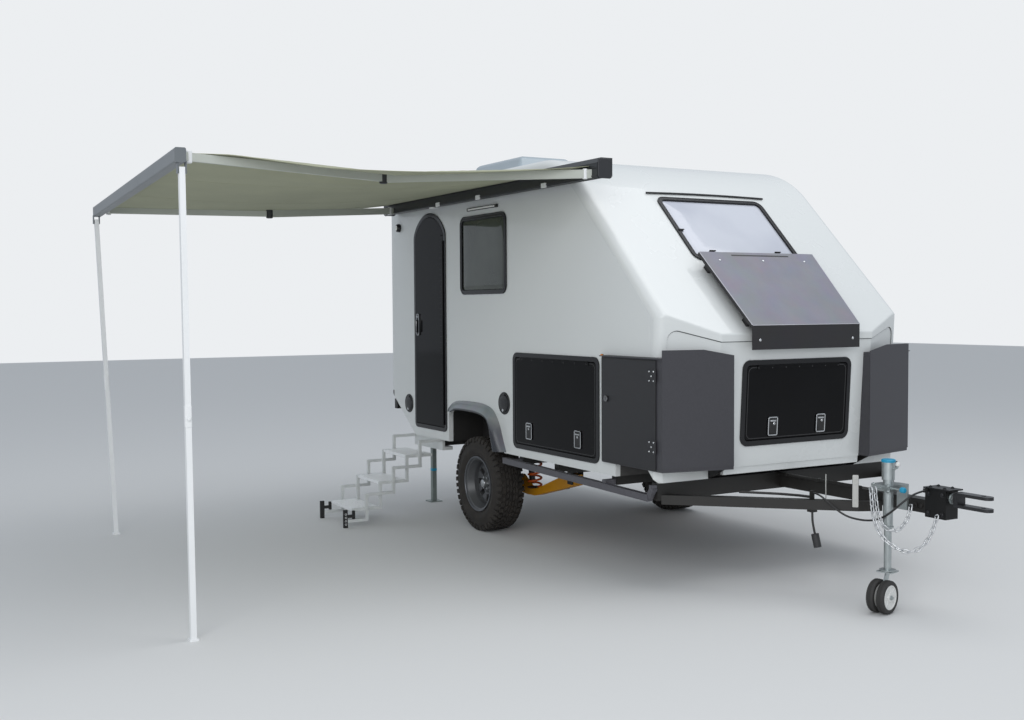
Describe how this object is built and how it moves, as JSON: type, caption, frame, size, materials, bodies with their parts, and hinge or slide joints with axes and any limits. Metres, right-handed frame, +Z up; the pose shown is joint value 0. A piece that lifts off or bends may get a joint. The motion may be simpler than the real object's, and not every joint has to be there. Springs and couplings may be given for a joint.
{
  "type": "camper trailer",
  "caption": "Off-road camper trailer with a hard body, raked front window, dark hatches and door, folding-arm side awning, entry steps, drawbar, caster jack and safety chains.",
  "frame": {"origin": "centre of the coupling pin's bore at the drawbar's tip, midway between the fork's ears", "axes": "+X forward along the drawbar, +Y to the trailer's left, +Z up; the ground is at z -0.705"},
  "size_m": [5.802, 5.116, 3.177],
  "materials": {
    "gelcoat": "pale moulded body panels with a soft gloss",
    "floor": "grey underfloor board",
    "liner": "black moulded arch liner",
    "window_frame": "thin black window frame",
    "pane": "tinted acrylic pane",
    "light_frame": "black ring frame",
    "dark_panel": "glossy black panel",
    "locker": "dark grey textured powder coat",
    "guard": "textured grey powder coat",
    "tyre": "dusty all-terrain rubber",
    "rim": "dark grey steel wheel",
    "axle": "dark hub and brake casting",
    "arm": "orange-yellow painted arm",
    "spring": "orange-red painted spring",
    "damper": "black damper tube",
    "flare": "grey flare",
    "chassis": "black coated steel",
    "coupler": "black coated steel block",
    "forged": "worn forged steel",
    "galvanised": "galvanised steel",
    "jack_wheel": "black solid rubber",
    "awning_case": "anthracite case",
    "awning_arm": "grey coated aluminium",
    "cloth": "grey-green awning cloth",
    "leg": "pale aluminium tube",
    "step": "aluminium tube and treads",
    "foot": "black foot",
    "roof_unit": "white moulded cover",
    "port": "pale port cover",
    "lamp": "lamp lens",
    "jack_grip": "blue moulded cap and knob",
    "cord": "black sheath",
    "plug": "black plug"
  },
  "bodies": {
    "trailer": {"side_wall_right": "gelcoat", "side_wall_left": "gelcoat", "nose_panel": "gelcoat", "floor_panel": "floor", "rear_wall": "gelcoat", "roof_front_moulding": "gelcoat", "wheel_arch_liners": "liner", "window_frames": "window_frame", "window_panes": "pane", "hatch_frames": "light_frame", "door_frame": "light_frame", "corner_lockers": "locker", "slope_guard": "guard", "stub_axles": "axle", "suspension_arms": "arm", "coil_springs": "spring", "dampers": "damper", "fender_flares": "flare", "main_rails": "chassis", "cross_members": "chassis", "drawbar": "chassis", "side_sliders": "chassis", "rear_bumper": "chassis", "coupler_block": "coupler", "jack_outer_tube": "galvanised", "awning_case": "awning_case", "awning_arms": "awning_arm", "awning_cloth": "cloth", "awning_lead_rail": "awning_case", "entry_steps": "step", "step_feet": "foot", "step_mount": "step", "corner_steadies": "galvanised", "roof_unit": "roof_unit", "service_ports": "port", "lamps": "lamp", "safety_chains": "galvanised", "loop_lead": "cord", "plug_lead": "cord", "lead_plug": "plug", "drawbar_clips": "chassis", "front_beam": "chassis", "locker_sills": "gelcoat", "jack_grips": "jack_grip"},
    "wheel_right": {"tyre_right": "tyre", "rim_right": "rim"},
    "wheel_left": {"tyre_left": "tyre", "rim_left": "rim"},
    "door": {"entrance_door": "dark_panel"},
    "hatch_right": {"side_hatch_right": "dark_panel"},
    "hatch_left": {"side_hatch_left": "dark_panel"},
    "hatch_nose": {"nose_hatch": "dark_panel"},
    "locker_lid_right": {"locker_door_right": "locker"},
    "locker_lid_left": {"locker_door_left": "locker"},
    "fork": {"coupling_fork": "forged"},
    "jack_slider": {"jack_inner_tube": "galvanised"},
    "caster": {"jack_caster_fork": "galvanised"},
    "caster_wheels": {"jack_wheels": "jack_wheel"},
    "leg_front": {"awning_leg_front": "leg"},
    "leg_rear": {"awning_leg_rear": "leg"}
  },
  "joints": [
    {"name": "wheel_right_spin", "type": "hinge", "parent": "trailer", "child": "wheel_right", "pos_m": [-4.04, -0.949, -0.318], "axis": [0, 1, 0], "continuous": true},
    {"name": "wheel_left_spin", "type": "hinge", "parent": "trailer", "child": "wheel_left", "pos_m": [-4.04, 0.949, -0.318], "axis": [0, 1, 0], "continuous": true},
    {"name": "door_swing", "type": "hinge", "parent": "trailer", "child": "door", "pos_m": [-4.587, -1.0885, 0.995], "axis": [0, 0, 1], "range_deg": [0, 95]},
    {"name": "hatch_right_lift", "type": "hinge", "parent": "trailer", "child": "hatch_right", "pos_m": [-2.83, -1.0865, 0.741], "axis": [-1, 0, 0], "range_deg": [0, 85]},
    {"name": "hatch_left_lift", "type": "hinge", "parent": "trailer", "child": "hatch_left", "pos_m": [-2.83, 1.0865, 0.741], "axis": [1, 0, 0], "range_deg": [0, 85]},
    {"name": "hatch_nose_lift", "type": "hinge", "parent": "trailer", "child": "hatch_nose", "pos_m": [-1.45461, 0, 0.73028], "axis": [0, -1, 0], "range_deg": [0, 85]},
    {"name": "locker_right_swing", "type": "hinge", "parent": "trailer", "child": "locker_lid_right", "pos_m": [-1.57, -1.112, 0.431], "axis": [0, 0, 1], "range_deg": [0, 110]},
    {"name": "locker_left_swing", "type": "hinge", "parent": "trailer", "child": "locker_lid_left", "pos_m": [-1.57, 1.112, 0.431], "axis": [0, 0, -1], "range_deg": [0, 110]},
    {"name": "coupling_roll", "type": "hinge", "parent": "trailer", "child": "fork", "pos_m": [-0.18, 0, 0], "axis": [1, 0, 0], "continuous": true},
    {"name": "jack_travel", "type": "slide", "parent": "trailer", "child": "jack_slider", "axis": [0, 0, 1], "range_m": [0, 0.2]},
    {"name": "caster_swivel", "type": "hinge", "parent": "jack_slider", "child": "caster", "pos_m": [-0.535, -0.17, -0.465], "axis": [0, 0, 1], "continuous": true},
    {"name": "caster_wheel_spin", "type": "hinge", "parent": "caster", "child": "caster_wheels", "pos_m": [-0.52, -0.23016, -0.605], "axis": [0.9703, 0.2419, 0], "continuous": true},
    {"name": "leg_front_fold", "type": "hinge", "parent": "trailer", "child": "leg_front", "pos_m": [-2.07, -3.918, 1.869], "axis": [0, 1, 0], "range_deg": [0, 85]},
    {"name": "leg_rear_fold", "type": "hinge", "parent": "trailer", "child": "leg_rear", "pos_m": [-5.46, -3.742, 1.825], "axis": [0, -1, 0], "range_deg": [0, 85]}
  ]
}
